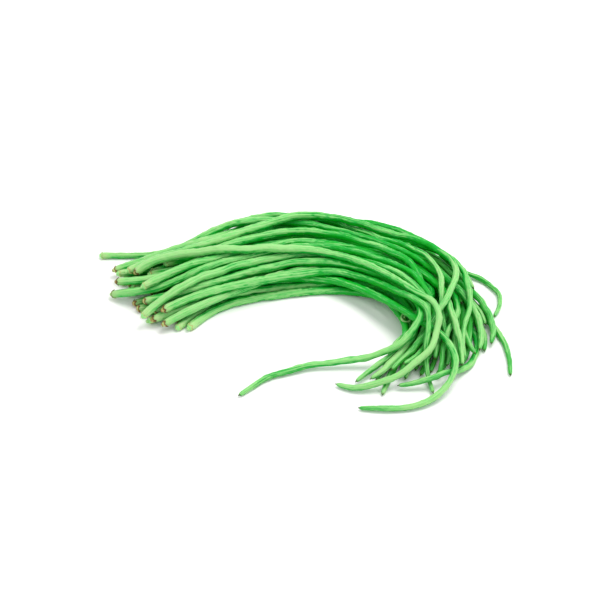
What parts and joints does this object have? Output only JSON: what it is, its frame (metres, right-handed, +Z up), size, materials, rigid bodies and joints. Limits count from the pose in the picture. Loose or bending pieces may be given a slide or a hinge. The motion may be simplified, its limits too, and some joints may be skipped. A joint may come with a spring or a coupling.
{
  "type": "yardlong bean bunch",
  "caption": "Loose bunch of long, thin green bean pods laid in a hook-shaped heap: stalk ends together at one end, tapered tips fanned out after the bend.",
  "frame": {"origin": "on the ground, under the middle of the bunch's bounding box", "axes": "+Z up; +X from the stalk ends towards the bend and the fanned tips; +Y from the open side of the hook towards its back"},
  "size_m": [0.3904, 0.2616, 0.0485],
  "materials": {
    "bean_pod": "fresh, slightly waxy bean skin with a soft sheen"
  },
  "bodies": {
    "root": {"pod_01": "bean_pod", "pod_02": "bean_pod", "pod_03": "bean_pod", "pod_04": "bean_pod", "pod_05": "bean_pod", "pod_06": "bean_pod", "pod_07": "bean_pod", "pod_08": "bean_pod", "pod_09": "bean_pod", "pod_10": "bean_pod", "pod_11": "bean_pod", "pod_12": "bean_pod", "pod_13": "bean_pod", "pod_14": "bean_pod", "pod_15": "bean_pod", "pod_16": "bean_pod", "pod_17": "bean_pod", "pod_18": "bean_pod", "pod_19": "bean_pod", "pod_20": "bean_pod", "pod_21": "bean_pod", "pod_22": "bean_pod", "pod_23": "bean_pod", "pod_24": "bean_pod", "pod_25": "bean_pod", "pod_26": "bean_pod", "pod_27": "bean_pod", "pod_28": "bean_pod", "pod_29": "bean_pod", "pod_30": "bean_pod", "pod_31": "bean_pod", "pod_32": "bean_pod", "pod_33": "bean_pod", "pod_34": "bean_pod", "pod_35": "bean_pod", "pod_36": "bean_pod", "pod_37": "bean_pod", "pod_38": "bean_pod", "pod_39": "bean_pod", "pod_40": "bean_pod", "pod_41": "bean_pod", "pod_42": "bean_pod", "pod_43": "bean_pod", "pod_44": "bean_pod", "pod_45": "bean_pod", "pod_46": "bean_pod", "pod_47": "bean_pod", "pod_48": "bean_pod", "pod_49": "bean_pod"}
  },
  "joints": []
}
